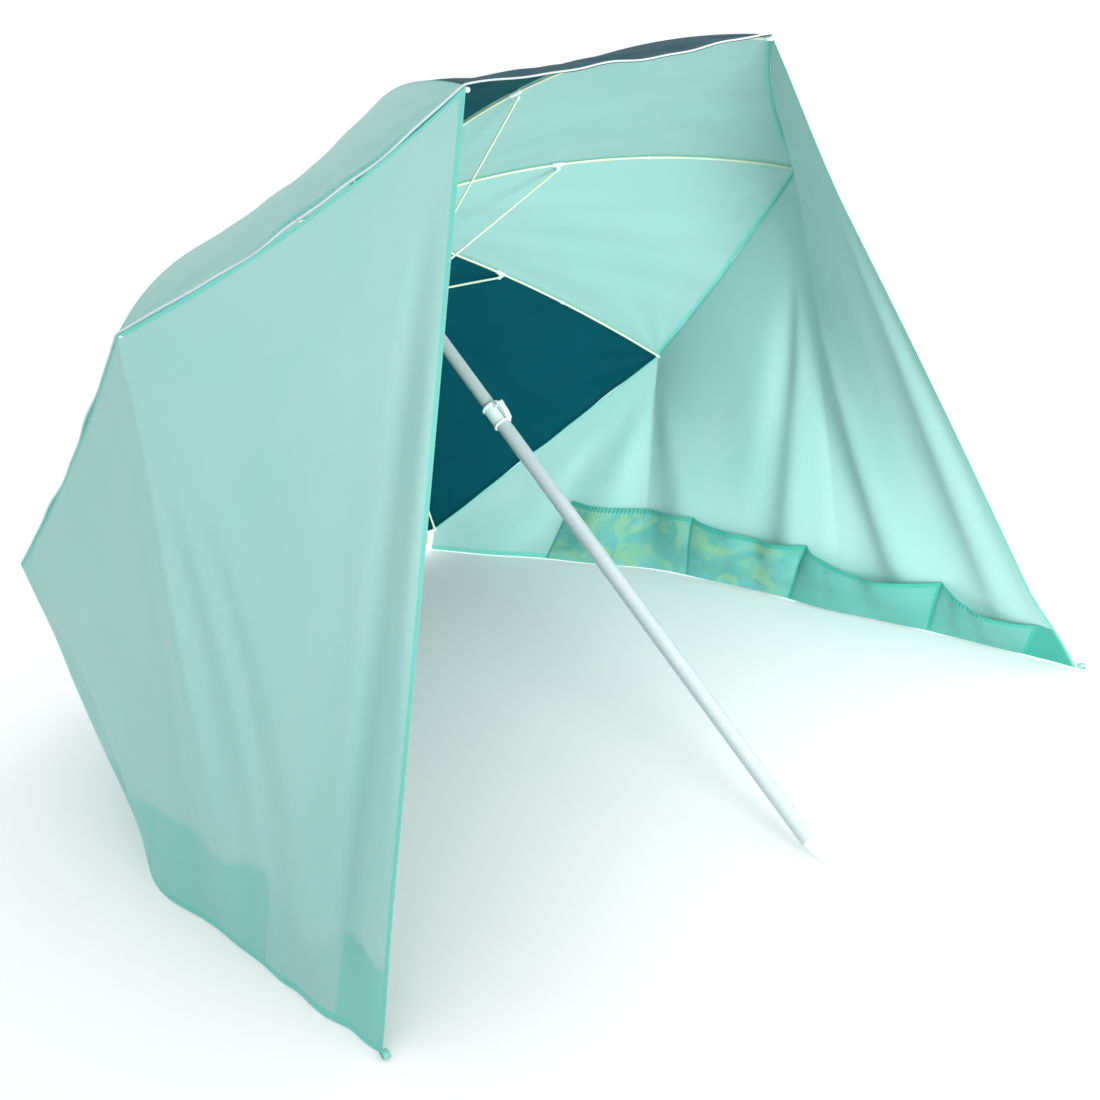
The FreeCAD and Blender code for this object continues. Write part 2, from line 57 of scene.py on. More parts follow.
# %% [markdown]
# ## The sizes that the cloth is cut to
#
# Cloth has to meet the ribs exactly, so the frame's main sizes are said again here, in
# metres. They are measured in the pole's own frame: z runs up the pole from the tip of its
# spike, x points up and forward across it, and y points to the right.

# %% Sizes of the frame
POLE_RISE = math.radians(36.5)
RIB_COUNT = 8
FIRST_RIB = 22.5  # degrees round the pole
RIB_SHIFT = {1: -1.7}  # degrees off its even place, by rib
RIB_EXTRA = {1: 0.009}  # and how much further it reaches
RIM_HEIGHT, RIM_RADIUS = 1.047, 0.760
# the tips' reach and height change round the rim by a cos t + b cos 2t
TIP_REACH, TIP_LIFT = (-0.036, 0.007), (-0.047, -0.011)
CROWN_HEIGHT, RING_RADIUS = 1.351, 0.020
STRUT_JOINT = (0.372, 1.270)  # reach and height
CANOPY_LIFT = 0.0056  # of the cloth over the middle of a rib
# by panel, which has the number of the rib before it: how far the hem curves in between its
# tips, and how far the wall draws it towards the pole there
SCALLOP = {3: 0.010, 4: 0.010, 7: 0.020}
HEM_SAG = {0: 0.007, 1: 0.020, 2: 0.010, 6: 0.012, 7: -0.005}
HEM_GAP = 0.0015  # from the canopy's hem to the wall's top edge
PANEL_WIDTH = 0.58  # of a panel at its hem
FOOT_WIDTH = 0.45  # of the wall under it, along the ground
CLOTH = 0.0008
GROUND_CLEAR = 0.0016
RIGHT, LEFT = (0, 7, 6, 5), (1, 2, 3, 4)
FOOT_CORNERS = {
    RIGHT: ((0.800, 0.069), (0.737, 0.340), (0.657, 0.618), (0.595, 0.839), (0.442, 1.109),
            (0.304, 1.322)),
    LEFT: ((-0.722, 0.155), (-0.734, 0.380), (-0.738, 0.550), (-0.741, 0.700),
           (-0.640, 0.850), (-0.458, 1.109), (-0.304, 1.322)),
}
FOOT_SHARES = {RIGHT: (0.0, 1 / 3, 2 / 3, 1.0), LEFT: (0.0, 0.235, 0.5, 1.0)}
MIDDLE = np.array([0.0, math.cos(POLE_RISE) * RIM_HEIGHT])


def lay(points):
    """Lay pole-frame points into the row frame: X = y, Y = z cos r - x sin r and
    Z = z sin r + x cos r, where r is the pole's rise."""
    x, y, z = points[..., 0], points[..., 1], points[..., 2]
    s, c = math.sin(POLE_RISE), math.cos(POLE_RISE)
    return np.stack([y, z * c - x * s, z * s + x * c], -1)


def azimuth(k):
    """The angle of rib k round the pole, in radians."""
    return math.radians(FIRST_RIB - 45.0 * k + RIB_SHIFT.get(k % RIB_COUNT, 0.0))


def smooth(x, start, end):
    """0 before start, 1 after end, and 3t^2 - 2t^3 between them."""
    t = np.clip((x - start) / (end - start), 0, 1)
    return t * t * (3 - 2 * t)


print("the rim's middle is at", MIDDLE.round(3), "in plan")

# %% [markdown]
# ## Ribs as arcs, and the canopy between them
#
# A sprung rod between two fixed points takes nearly the shape of a circle's arc, so each
# rib is the arc through its pivot, the strut's joint and its tip. A panel of cloth is
# pulled tight between two arcs. A straight line from one arc to the next, at the same share
# of their lengths, gives that ruled surface as one formula, and small lifts are added for
# the places where real cloth puckers. The formula is written for a whole panel, so the
# two pieces that meet in its middle share the same points.

# %% The arc of a rib


def rib_circle(k):
    """Centre, radius and end angles of the circle through a rib's pivot, joint and tip.
    The centre is where the bisectors cross: both its coordinates are a ratio of
    determinants of the three points."""
    a = azimuth(k)
    reach = RIM_RADIUS + TIP_REACH[0] * math.cos(a) + TIP_REACH[1] * math.cos(2 * a)
    reach += RIB_EXTRA.get(k % RIB_COUNT, 0.0)
    height = RIM_HEIGHT + TIP_LIFT[0] * math.cos(a) + TIP_LIFT[1] * math.cos(2 * a)
    p = np.array([(RING_RADIUS, CROWN_HEIGHT), STRUT_JOINT, (reach, height)])
    square, turn = (p**2).sum(1), np.roll(p, -1, 0) - np.roll(p, 1, 0)
    scale = 2 * (p[:, 0] @ turn[:, 1])
    centre = np.array([square @ turn[:, 1], -square @ turn[:, 0]]) / scale
    radius = np.linalg.norm(p[0] - centre)
    ends = np.arctan2(p[[0, 2], 1] - centre[1], p[[0, 2], 0] - centre[0])
    return centre, radius, ends


def rib_point(k, share, lift):
    """Pole-frame points at a share of rib k's length: centre + (radius + lift) (cos, sin)."""
    centre, radius, ends = rib_circle(k)
    angle = ends[0] + share * (ends[1] - ends[0])
    reach = centre[0] + (radius + lift) * np.cos(angle)
    height = centre[1] + (radius + lift) * np.sin(angle)
    a = azimuth(k)
    return np.stack([reach * math.cos(a), reach * math.sin(a), height], -1)


def rib_length(k):
    centre, radius, ends = rib_circle(k)
    return radius * abs(ends[1] - ends[0])


print("ribs are", [round(rib_length(k), 3) for k in range(RIB_COUNT)], "m long")

# %% The lifts that make a panel look sewn and pulled
GATHER_PITCH = 0.0095
GATHERED_PANEL = 1


def gather_window(panel, q, share):
    """1 on the strip beside the hem where elastic gathers the cloth, 0 elsewhere."""
    from_hem = (1 - share) * rib_length(panel)
    band = smooth(from_hem, 0.003, 0.010) * (1 - smooth(from_hem, 0.024, 0.036))
    return band * smooth(q, 0.10, 0.22) * (1 - smooth(q, 0.50, 0.68)) * (panel == GATHERED_PANEL)


def panel_lift(panel, q, share):
    """Metres off the ruled surface. A saddle 4q(1-q) sin(pi s) dips the middle; a fan of
    waves sin(n phi) exp(-d / reach) leaves each tip; long waves run up the panel; and
    short ones stand in the gathered strip. All of them are 0 on the ribs."""
    between = 4 * q * (1 - q)
    lift = -0.009 * between * np.sin(np.pi * np.clip(share, 0, 1)) ** 0.8
    for tip_q, side in ((0.0, 1.0), (1.0, -1.0)):
        away = np.abs(q - tip_q) * PANEL_WIDTH * share + 1e-6
        back = (1 - share) * 0.9 + 1e-6
        phi = np.arctan2(away, back)
        fade = np.exp(-np.hypot(away, back) / 0.20)
        lift = lift + 0.0032 * np.sin(9 * phi + 0.4 * panel) * fade * between**0.5
    loose = between * share
    long_wave = np.sin(2 * np.pi * (2.3 * q + 0.9 * share + 0.31 * panel))
    short_wave = np.sin(2 * np.pi * (5.2 * q - 1.7 * share + 0.17 * panel))
    lift = lift + (0.0022 * long_wave + 0.0011 * short_wave) * loose
    turns = 2 * np.pi * q * PANEL_WIDTH / GATHER_PITCH
    ripple = np.sin(turns + 2.1 * np.sin(23 * q) + 60 * share)
    return lift + 0.0019 * ripple * gather_window(panel, q, share)


def ruled_point(panel, q, share, lift):
    """Row-frame points between two ribs, at a share of their lengths. The hem's bow, 4q(1-q),
    draws the share in by the scallop, and the cloth towards the pole by the sag."""
    bow = 4 * q * (1 - q)
    inset = share * (1 - bow * SCALLOP.get(panel, 0.0) / RIM_RADIUS)
    lift = lift - bow * HEM_SAG.get(panel, 0.0) * share**3
    here, there = rib_point(panel, inset, lift), rib_point(panel + 1, inset, lift)
    return lay(here + (there - here) * q[..., None])


def canopy_point(panel, q, share, proud=0.0):
    """Points of a panel. q runs from rib `panel`, 0, to the next rib, 1. Proud lifts a point
    off the cloth."""
    panel = panel % RIB_COUNT
    return ruled_point(panel, q, share, CANOPY_LIFT + panel_lift(panel, q, share) + proud)


def sector_point(k, across, share, proud=0.0):
    """The cloth on rib k, from the middle of one panel, -0.5, to that of the next, 0.5."""
    before = canopy_point(k - 1, np.clip(1 + across, 0, 1), share, proud)
    after = canopy_point(k, np.clip(across, 0, 1), share, proud)
    return np.where((across < 0)[..., None], before, after)


print("panel 0's middle, half way down:", canopy_point(0, np.array(0.5), np.array(0.5)).round(3))

# %% [markdown]
# ## The walls
#
# Each wall hangs from the rim and meets the ground along a curve. Between the two it is
# drawn tight, so it is again a ruled surface: a point is so far along the rim, at `place`,
# and so far down, at `down`. Hanging cloth forms soft folds that run from the points that
# hold it. Each fold is a ridge with a bell-shaped section whose line runs from a place on
# the rim to a place at the foot, and it widens as it goes down.

# %% A smooth line through the corners of the foot


def foot_curve(side, place):
    """The cubic spline through the foot's corners, measured along its chords. Its slopes m
    solve the usual three-term equations; at each end the slope is that of the cubic through
    the four nearest corners."""
    p = np.array(FOOT_CORNERS[side])
    h = np.linalg.norm(np.diff(p, axis=0), axis=1)
    t = np.concatenate([[0], np.cumsum(h)])
    rise = np.diff(p, axis=0) / h[:, None]
    n = len(p)
    rows, right = np.eye(n), np.zeros((n, 2))
    for i in range(1, n - 1):
        rows[i, i - 1:i + 2] = h[i], 2 * (h[i - 1] + h[i]), h[i - 1]
        right[i] = 3 * (h[i] * rise[i - 1] + h[i - 1] * rise[i])
    for i, part in ((0, slice(0, 4)), (n - 1, slice(n - 4, n))):
        cubic = np.polyfit(t[part] - t[i], p[part], 3)
        right[i] = cubic[2]
    m = np.linalg.solve(rows, right)
    at = np.interp(place, range(4), FOOT_SHARES[side]) * t[-1]
    i = np.clip(np.searchsorted(t, at, side="right") - 1, 0, n - 2)
    s = ((at - t[i]) / h[i])[..., None]
    step = h[i][..., None]
    flat = ((1 + 2 * s) * (1 - s) ** 2 * p[i] + s * s * (3 - 2 * s) * p[i + 1]
            + s * (1 - s) ** 2 * step * m[i] - s * s * (1 - s) * step * m[i + 1])
    return np.concatenate([flat, np.full(flat.shape[:-1] + (1,), GROUND_CLEAR)], -1)


def foot_places(side, lengths):
    """The places, from 0 at the front to 3 at the back, that are so far along the foot."""
    whole = np.linalg.norm(np.diff(np.array(FOOT_CORNERS[side]), axis=0), axis=1).sum()
    return np.interp(np.array(lengths) / whole, FOOT_SHARES[side], range(4))


print("half a metre along the left foot is place", foot_places(LEFT, [0.5]).round(3))

# %% Folds of the hanging walls
# place at the rim, place at the foot, where it starts and ends on the way down, width in
# places, depth in metres, outward
WALL_FOLDS = {
    LEFT: (
        (0.03, 0.10, 0.10, 1.3, 0.075, 0.012),
        (0.09, 0.21, 0.05, 1.3, 0.080, -0.013),
        (0.16, 0.36, 0.30, 1.3, 0.090, 0.006),
        (1.00, 0.45, 0.05, 1.3, 0.130, 0.008),
        (1.00, 0.57, 0.10, 1.3, 0.070, -0.007),
        (1.00, 0.68, 0.08, 1.3, 0.080, 0.007),
        (1.00, 0.86, 0.06, 1.3, 0.100, -0.007),
        (1.00, 1.06, 0.10, 1.3, 0.090, 0.006),
        (1.00, 1.30, 0.15, 1.3, 0.100, -0.006),
        (2.00, 1.55, 0.10, 1.3, 0.110, 0.006),
        (2.00, 1.80, 0.10, 1.3, 0.100, -0.006),
        (2.00, 2.10, 0.15, 1.3, 0.120, 0.006),
        (0.00, 0.00, 0.55, 1.02, 0.140, 0.022),
    ),
    RIGHT: (
        (0.04, 0.09, 0.10, 1.3, 0.070, 0.008),
        (0.10, 0.24, 0.05, 1.3, 0.085, -0.007),
        (0.24, 0.42, 0.20, 1.3, 0.130, 0.007),
        (1.00, 0.62, 0.04, 1.3, 0.100, -0.009),
        (1.00, 0.82, 0.06, 1.3, 0.110, 0.009),
        (1.00, 1.06, 0.08, 1.3, 0.090, -0.006),
        (1.00, 1.26, 0.06, 1.3, 0.090, -0.008),
        (1.02, 1.46, 0.10, 1.3, 0.110, 0.010),
        (2.00, 1.72, 0.08, 1.3, 0.100, -0.007),
        (2.00, 1.95, 0.10, 1.3, 0.130, 0.007),
        (2.00, 2.25, 0.12, 1.3, 0.110, -0.009),
        (2.20, 2.50, 0.15, 1.3, 0.120, 0.008),
        (0.00, 0.00, -0.05, 1.02, 0.200, -0.018),
    ),
}


def wall_fold(side, place, down):
    """The folds' sum at a place: depth exp(-(distance / width)^2), from 0 at the hem."""
    total = np.zeros(np.broadcast(place, down).shape)
    for top, foot, start, end, width, depth in WALL_FOLDS[side]:
        line = top + (foot - top) * down
        spread = width * (0.45 + 0.65 * down)
        along = smooth(down, start, start + 0.30) * (1 - smooth(down, end - 0.18, end))
        total = total + depth * along * np.exp(-(((place - line) / spread) ** 2))
    drape = 0.0035 * np.sin(2 * np.pi * (1.9 * place + 0.6 * down)) * smooth(down, 0.1, 0.6)
    return (total + drape) * (1 - 0.7 * smooth(down, 0.85, 1.0))


def rim_line(side, place):
    """The wall's top edge, just past the canopy's hem."""
    n = np.clip(place.astype(int), 0, 2)
    out = np.zeros(place.shape + (3,))
    for i in range(3):
        one, two = side[i], side[i + 1]
        forward = (one + 1) % RIB_COUNT == two
        panel = one if forward else two
        q = np.clip(place - i, 0, 1)
        q = q if forward else 1 - q
        edge = ruled_point(panel, q, 1 + HEM_GAP / RIM_RADIUS, CANOPY_LIFT)
        out = np.where((n == i)[..., None], edge, out)
    return out


def level_out(points):
    """The level direction away from the middle of the shelter."""
    flat = points[..., :2] - MIDDLE
    flat = flat / np.linalg.norm(flat, axis=-1, keepdims=True)
    return np.concatenate([flat, np.zeros(flat.shape[:-1] + (1,))], -1)


def wall_point(side, place, down):
    """A point of the wall: rim + (foot - rim) down, and the folds' depth outward."""
    rim, foot = rim_line(side, place), foot_curve(side, place)
    base = rim + (foot - rim) * down[..., None]
    return base + level_out(base) * wall_fold(side, place, down)[..., None]


def wall_height(side, place):
    return np.linalg.norm(foot_curve(side, place) - rim_line(side, place), axis=-1)


for side in (RIGHT, LEFT):
    print("wall heights", wall_height(side, np.arange(4.0)).round(3))

# %% [markdown]
# ## Pockets that keep the walls down
#
# Along the foot of each wall a strip of cloth is sewn on its inside, in four pockets that
# are filled with sand. They hang empty here: each stands off the wall in the middle, and
# its top edge droops between the seams that hold it up.

# %% The pockets' surface
# metres along the foot from the front corner to each seam
SEAM_LENGTHS = {RIGHT: (0.093, 0.278, 0.568, 0.797, 1.107),
                LEFT: (0.093, 0.252, 0.546, 0.776, 1.000)}
POCKET_SEAMS = {side: foot_places(side, SEAM_LENGTHS[side]) for side in (RIGHT, LEFT)}
# how far, in places, each seam leans to the front on its way up
SEAM_LEANS = {RIGHT: (0.13, 0.13, 0.13, 0.04, 0.10), LEFT: (0.04, 0.10, 0.28, 0.10, 0.10)}
# bulge and droop of each pocket from the front, in metres
POCKET_SHAPES = {
    RIGHT: ((0.032, 0.020), (0.046, 0.026), (0.024, 0.012), (0.012, 0.003)),
    LEFT: ((0.018, 0.070), (0.014, 0.020), (0.016, 0.012), (0.012, 0.006)),
}
POCKET_TOP = {RIGHT: 0.127, LEFT: 0.156}
POCKET_FRONT_TOP = {RIGHT: 0.092, LEFT: 0.120}
POCKET_STAND = 0.0035


def pocket_phase(side, place):
    """Which pocket a place at the foot is in, and how far across it, from 0 to 1."""
    seams = POCKET_SEAMS[side]
    n = np.clip(np.searchsorted(seams, place, side="right") - 1, 0, len(seams) - 2)
    return n, np.clip((place - seams[n]) / (seams[n + 1] - seams[n]), 0, 1)


def seam_lean(side, place):
    return np.interp(place, POCKET_SEAMS[side], SEAM_LEANS[side])


def pocket_top(side, place):
    """The height of the top edge up the wall: full at the seams, less the droop between."""
    n, u = pocket_phase(side, place)
    droop = np.array(POCKET_SHAPES[side])[:, 1][n] * np.sin(np.pi * u) ** 0.8
    front, full = POCKET_FRONT_TOP[side], POCKET_TOP[side]
    return front + (full - front) * smooth(place, 0.15, 0.62) - droop


def pocket_point(side, place, rise):
    """The wall's own point, moved in by the stand and by the bulge. The bulge is a half
    wave across the pocket, and grows from its foot to its top edge."""
    n, u = pocket_phase(side, place)
    bulge = np.array(POCKET_SHAPES[side])[:, 0][n] * np.sin(np.pi * u) ** 0.7
    grow = 0.25 + 0.75 * np.sin(np.pi / 2 * np.clip(rise * 1.05, 0, 1)) ** 1.3
    crumple = 0.0028 * np.sin(9 * u + 5 * rise + 2.3 * n) * np.sin(7 * rise - 11 * u + n)
    crumple = crumple * np.sin(np.pi * u) ** 0.5 * smooth(rise, 0, 0.2)
    pucker = 0.0012 * np.sin(2 * np.pi * place * 0.45 / 0.0085) * smooth(rise, 0.82, 0.95)
    pucker = pucker * (0.5 + 0.5 * np.sin(3.1 * place + 1.0))
    leant = np.maximum(place - seam_lean(side, place) * rise, 0.008)
    down = 1 - rise * pocket_top(side, place) / wall_height(side, leant)
    inner = wall_point(side, leant, down)
    stand = POCKET_STAND + bulge * grow + crumple + pucker * np.sin(np.pi * u)
    return inner - level_out(inner) * np.maximum(stand, 0.002)[..., None]


print("pocket tops", pocket_top(RIGHT, POCKET_SEAMS[RIGHT]).round(3))

# %% [markdown]
# ## From arrays to meshes
#
# A sheet is a grid of points. `foreach_set` copies a whole array into Blender at once. The
# grid also gets a UV map measured in metres, so that a weave has its true size, and marks
# for each point, such as how far it is from the hem, for the materials to read.

# %% Helpers that make pieces


def link(name, mesh, *materials):
    """Put a finished mesh in the scene with its materials."""
    piece = bpy.data.objects.new(name, mesh)
    scene.collection.objects.link(piece)
    for material in materials:
        mesh.materials.append(material)
    return piece


def fill_mesh(name, points, faces):
    """A mesh from an array of points and an array of four-cornered faces."""
    mesh = bpy.data.meshes.new(name)
    mesh.vertices.add(len(points))
    mesh.vertices.foreach_set("co", points.astype(np.float32).ravel())
    mesh.loops.add(faces.size)
    mesh.loops.foreach_set("vertex_index", faces.astype(np.int32).ravel())
    mesh.polygons.add(len(faces))
    mesh.polygons.foreach_set("loop_start", np.arange(0, faces.size, 4, dtype=np.int32))
    mesh.polygons.foreach_set("use_smooth", np.full(len(faces), True))
    mesh.update(calc_edges=True)
    mesh.validate()
    return mesh


def sheet_mesh(name, grid, uv, outside, **marks):
    """A sheet from a grid (rows, columns, 3). Its faces are turned so that their normals,
    added up, point along `outside`."""
    rows, columns = grid.shape[:2]
    index = np.arange(rows * columns).reshape(rows, columns)
    faces = np.stack([index[:-1, :-1], index[:-1, 1:], index[1:, 1:], index[1:, :-1]], -1)
    faces = faces.reshape(-1, 4)
    points = grid.reshape(-1, 3)
    a, b, c, d = (points[faces[:, i]] for i in range(4))
    if np.cross(c - a, d - b).sum(0) @ np.asarray(outside) < 0:
        faces = faces[:, ::-1]
    mesh = fill_mesh(name, points, faces)
    layer = mesh.uv_layers.new(name="cloth")
    layer.data.foreach_set("uv", uv.reshape(-1, 2)[faces.ravel()].astype(np.float32).ravel())
    for mark, values in marks.items():
        kept = mesh.attributes.new(mark, "FLOAT", "POINT")
        kept.data.foreach_set("value", np.asarray(values, np.float32).ravel())
    return mesh


def sheet_area(grid):
    """The area of a grid: half of each cell's diagonals' cross product."""
    across, down = grid[1:, 1:] - grid[:-1, :-1], grid[1:, :-1] - grid[:-1, 1:]
    return float(np.linalg.norm(np.cross(across, down), axis=-1).sum() / 2)


def thicken(piece, thickness=CLOTH):
    """Give a sheet its thickness, half on each side, and keep its rim's edges sharp, so
    that two pieces that meet are shaded alike up to their common edge."""
    solid = piece.modifiers.new("thickness", "SOLIDIFY")
    solid.thickness, solid.offset = thickness, 0.0
    bpy.context.view_layer.update()
    seen = piece.evaluated_get(bpy.context.evaluated_depsgraph_get())
    mesh = bpy.data.meshes.new_from_object(seen)
    piece.modifiers.clear()
    thin, piece.data = piece.data, mesh
    bpy.data.meshes.remove(thin)
    mesh.name = piece.name
    mesh.set_sharp_from_angle(angle=math.radians(50))
    return piece


def tube_mesh(name, path, radius, sides=10):
    """A round tube about a path (n, 3): path + radius (cos t N + sin t B) for each ring,
    with its ends closed by drawing the last rings in to a point."""
    path = np.concatenate([path[:1], path, path[-1:]])
    along = np.gradient(path, axis=0)
    along[0], along[-1] = along[1], along[-2]
    along = along / np.linalg.norm(along, axis=1, keepdims=True)
    lean = np.cross(along, [0.31, 0.17, 0.93])
    lean = lean / np.linalg.norm(lean, axis=1, keepdims=True)
    other = np.cross(along, lean)
    size = np.full(len(path), radius)
    size[0] = size[-1] = 1e-5
    t = np.linspace(0, 2 * np.pi, sides, endpoint=False)
    ring = np.cos(t)[:, None] * lean[:, None] + np.sin(t)[:, None] * other[:, None]
    points = (path[:, None] + ring * size[:, None, None]).reshape(-1, 3)
    index = np.arange(len(points)).reshape(len(path), sides)
    turned = np.roll(index, -1, 1)
    faces = np.stack([index[:-1], turned[:-1], turned[1:], index[1:]], -1).reshape(-1, 4)
    mesh = fill_mesh(name, points, faces)
    uv = mesh.uv_layers.new(name="cloth")
    length = np.concatenate([[0], np.cumsum(np.linalg.norm(np.diff(path, axis=0), axis=1))])
    flat = np.stack(np.broadcast_arrays(length[:, None], t[None] * radius), -1).reshape(-1, 2)
    uv.data.foreach_set("uv", flat[faces.ravel()].astype(np.float32).ravel())
    return mesh


print("the sheets are", CLOTH * 1000, "mm thick")

# %% [markdown]
# ## Camera and light
#
# The camera stands in front and to the left, a little above the canopy's rim, and looks
# down into the shelter. Thin pale cloth glows when light comes from all around, so most of
# the light is a bright, even sky. Three soft lamps with narrow beams light the inside.

# %% Camera, floor and lamps
CAMERA_PLACE = np.array([-1.6455, -1.2189, 1.4676])
CAMERA_AIM = np.array([0.60802, 0.67396, -0.41963])
CAMERA_ROLL = math.radians(1.62)


def camera_matrix(place, aim, roll):
    """Columns: right, up and back. Right is level before the roll turns it."""
    level = np.cross(aim, [0, 0, 1])
    level = level / np.linalg.norm(level)
    top = np.cross(level, aim)
    right = math.cos(roll) * level - math.sin(roll) * top
    up = math.sin(roll) * level + math.cos(roll) * top
    matrix = Matrix.Identity(4)
    for i in range(3):
        matrix[i][:] = right[i], up[i], -aim[i], place[i]
    return matrix


camera = bpy.data.objects.new("camera", bpy.data.cameras.new("camera"))
camera.data.lens, camera.data.sensor_width = 53.33, 36.0
camera.data.clip_end = 50.0
camera_aim = CAMERA_AIM / np.linalg.norm(CAMERA_AIM)
camera.matrix_world = camera_matrix(CAMERA_PLACE, camera_aim, CAMERA_ROLL)
scene.collection.objects.link(camera)
scene.camera = camera
scene.view_settings.view_transform = "Standard"


def lamp(name, place, towards, size, power, spread):
    """A square soft lamp that points from its place towards another, with a beam that is
    `spread` degrees wide."""
    light = bpy.data.lights.new(name, "AREA")
    light.size, light.energy, light.spread = size, power, math.radians(spread)
    made = bpy.data.objects.new(name, light)
    aim = np.array(towards, float) - np.array(place, float)
    made.matrix_world = camera_matrix(np.array(place, float), aim / np.linalg.norm(aim), 0.0)
    scene.collection.objects.link(made)


lamp("front_lamp", (0.2, -2.4, 0.9), (0.2, 0.8, 0.6), 2.0, 14, 100)
lamp("side_lamp", (-0.5, -1.7, 0.8), (0.68, 0.6, 0.4), 0.8, 7, 55)
lamp("back_lamp", (2.8, 1.4, 1.3), (0.6, 0.6, 0.4), 2.0, 14, 80)

sky = bpy.data.worlds.new("sky")
sky.use_nodes = True
sky.node_tree.nodes["Background"].inputs["Color"].default_value = (1.0, 1.0, 1.0, 1)
sky.node_tree.nodes["Background"].inputs["Strength"].default_value = 1.06
scene.world = sky
print("camera at", CAMERA_PLACE)

# %% [markdown]
# ## Finishes
#
# A finish is a small network of nodes. Effects that several finishes share, such as the
# weave, are made once as node groups. A group hands out colours, masks and heights; the
# shader itself stays in each material.

# %% Helpers that place nodes


def srgb(red, green, blue):
    """A screen colour from 0 to 255 as linear light: ((c + 0.055) / 1.055) ^ 2.4."""
    c = np.array([red, green, blue]) / 255
    return (*np.where(c <= 0.04045, c / 12.92, ((c + 0.055) / 1.055) ** 2.4).tolist(), 1.0)


def add(tree, kind, inputs=(), **settings):
    """Place a node. An input is a plain value or the socket that feeds it."""
    made = tree.nodes.new("ShaderNode" + kind)
    for key, value in settings.items():
        setattr(made, key, value)
    for key, value in dict(inputs).items():
        if isinstance(value, bpy.types.NodeSocket):
            tree.links.new(value, made.inputs[key])
        else:
            made.inputs[key].default_value = value
    return made


def calc(tree, operation, a, b=0.0):
    return add(tree, "Math", {0: a, 1: b}, operation=operation).outputs[0]


def ramp(tree, value, low, high, to_low=0.0, to_high=1.0):
    """Map a value from one range to another, smoothly, and hold it at the ends."""
    sockets = {"Value": value, "From Min": low, "From Max": high, "To Min": to_low,
               "To Max": to_high}
    return add(tree, "MapRange", sockets, interpolation_type="SMOOTHSTEP").outputs["Result"]


def blend_colours(tree, factor, a, b):
    mixed = add(tree, "Mix", {0: factor, 6: a, 7: b}, data_type="RGBA")
    return mixed.outputs[2]


def new_group(name, ins, outs):
    """An empty node group with named sockets. Returns its tree, inputs and output node."""
    tree = bpy.data.node_groups.new(name, "ShaderNodeTree")
    for label, kind, value in ins:
        socket = tree.interface.new_socket(label, in_out="INPUT", socket_type="NodeSocket" + kind)
        if value is not None:
            socket.default_value = value
    for label in outs:
        tree.interface.new_socket(label, in_out="OUTPUT", socket_type="NodeSocketFloat")
    return tree, tree.nodes.new("NodeGroupInput").outputs, tree.nodes.new("NodeGroupOutput").inputs


def use(tree, group, **inputs):
    return add(tree, "Group", {key.replace("_", " "): v for key, v in inputs.items()},
               node_tree=group).outputs


# %% The shared effects
# plain weave: threads cross over and under, sin(x) sin(y)
weave, wi, wo = new_group("plain_weave", (("Place", "Vector", None), ("Pitch", "Float", 0.0008)),
                          ("Height", "Shade"))
turns = calc(weave, "DIVIDE", 2 * math.pi, wi["Pitch"])
split = add(weave, "SeparateXYZ", {0: wi["Place"]}).outputs
threads = [calc(weave, "SINE", calc(weave, "MULTIPLY", split[i], turns)) for i in (0, 1)]
crossing = calc(weave, "MULTIPLY", *threads)
weave.links.new(crossing, wo["Height"])
weave.links.new(ramp(weave, crossing, -1, 1, 0.965, 1.03), wo["Shade"])

# soft creases: broad clouds of tone, and the thin straight marks of a folded cloth
creases, ci, co = new_group("soft_creases", (("Place", "Vector", None), ("Scale", "Float", 6.0)),
                            ("Height", "Tone"))
cloud = add(creases, "TexNoise", {"Vector": ci["Place"], "Scale": ci["Scale"], "Detail": 3.0,
                                  "Roughness": 0.55, "Distortion": 0.4}).outputs[0]
facet_scale = calc(creases, "MULTIPLY", ci["Scale"], 1.7)
facets = add(creases, "TexVoronoi", {"Vector": ci["Place"], "Scale": facet_scale},
             feature="SMOOTH_F1").outputs["Distance"]
crease_height = calc(creases, "ADD", cloud, calc(creases, "MULTIPLY", facets, 0.35))
creases.links.new(crease_height, co["Height"])
creases.links.new(ramp(creases, cloud, 0.3, 0.7), co["Tone"])

# a line of stitches: dashes along it, and a narrow band across it
stitches, si, so = new_group(
    "stitch_line",
    (("From Line", "Float", 0.0), ("Along", "Float", 0.0), ("Pitch", "Float", 0.003)),
    ("Mask",))
around = calc(stitches, "MULTIPLY", si["Along"], 6.2832)
beat = calc(stitches, "SINE", calc(stitches, "DIVIDE", around, si["Pitch"]))
dash = ramp(stitches, beat, -0.45, -0.1)
line = ramp(stitches, calc(stitches, "ABSOLUTE", si["From Line"]), 0.00035, 0.0007, 1.0, 0.0)
stitches.links.new(calc(stitches, "MULTIPLY", dash, line), so["Mask"])

# handling: faint smudges, and fine grain
handled, hi, ho = new_group(
    "grain_and_smudges", (("Place", "Vector", None), ("Grain", "Float", 900.0)),
    ("Height", "Smudge"))
grain = add(handled, "TexNoise",
            {"Vector": hi["Place"], "Scale": hi["Grain"], "Detail": 2.0}).outputs[0]
smudge = add(handled, "TexNoise",
             {"Vector": hi["Place"], "Scale": 17.0, "Detail": 5.0}).outputs[0]
handled.links.new(grain, ho["Height"])
handled.links.new(ramp(handled, smudge, 0.35, 0.75), ho["Smudge"])
print("node groups:", [g.name for g in bpy.data.node_groups])

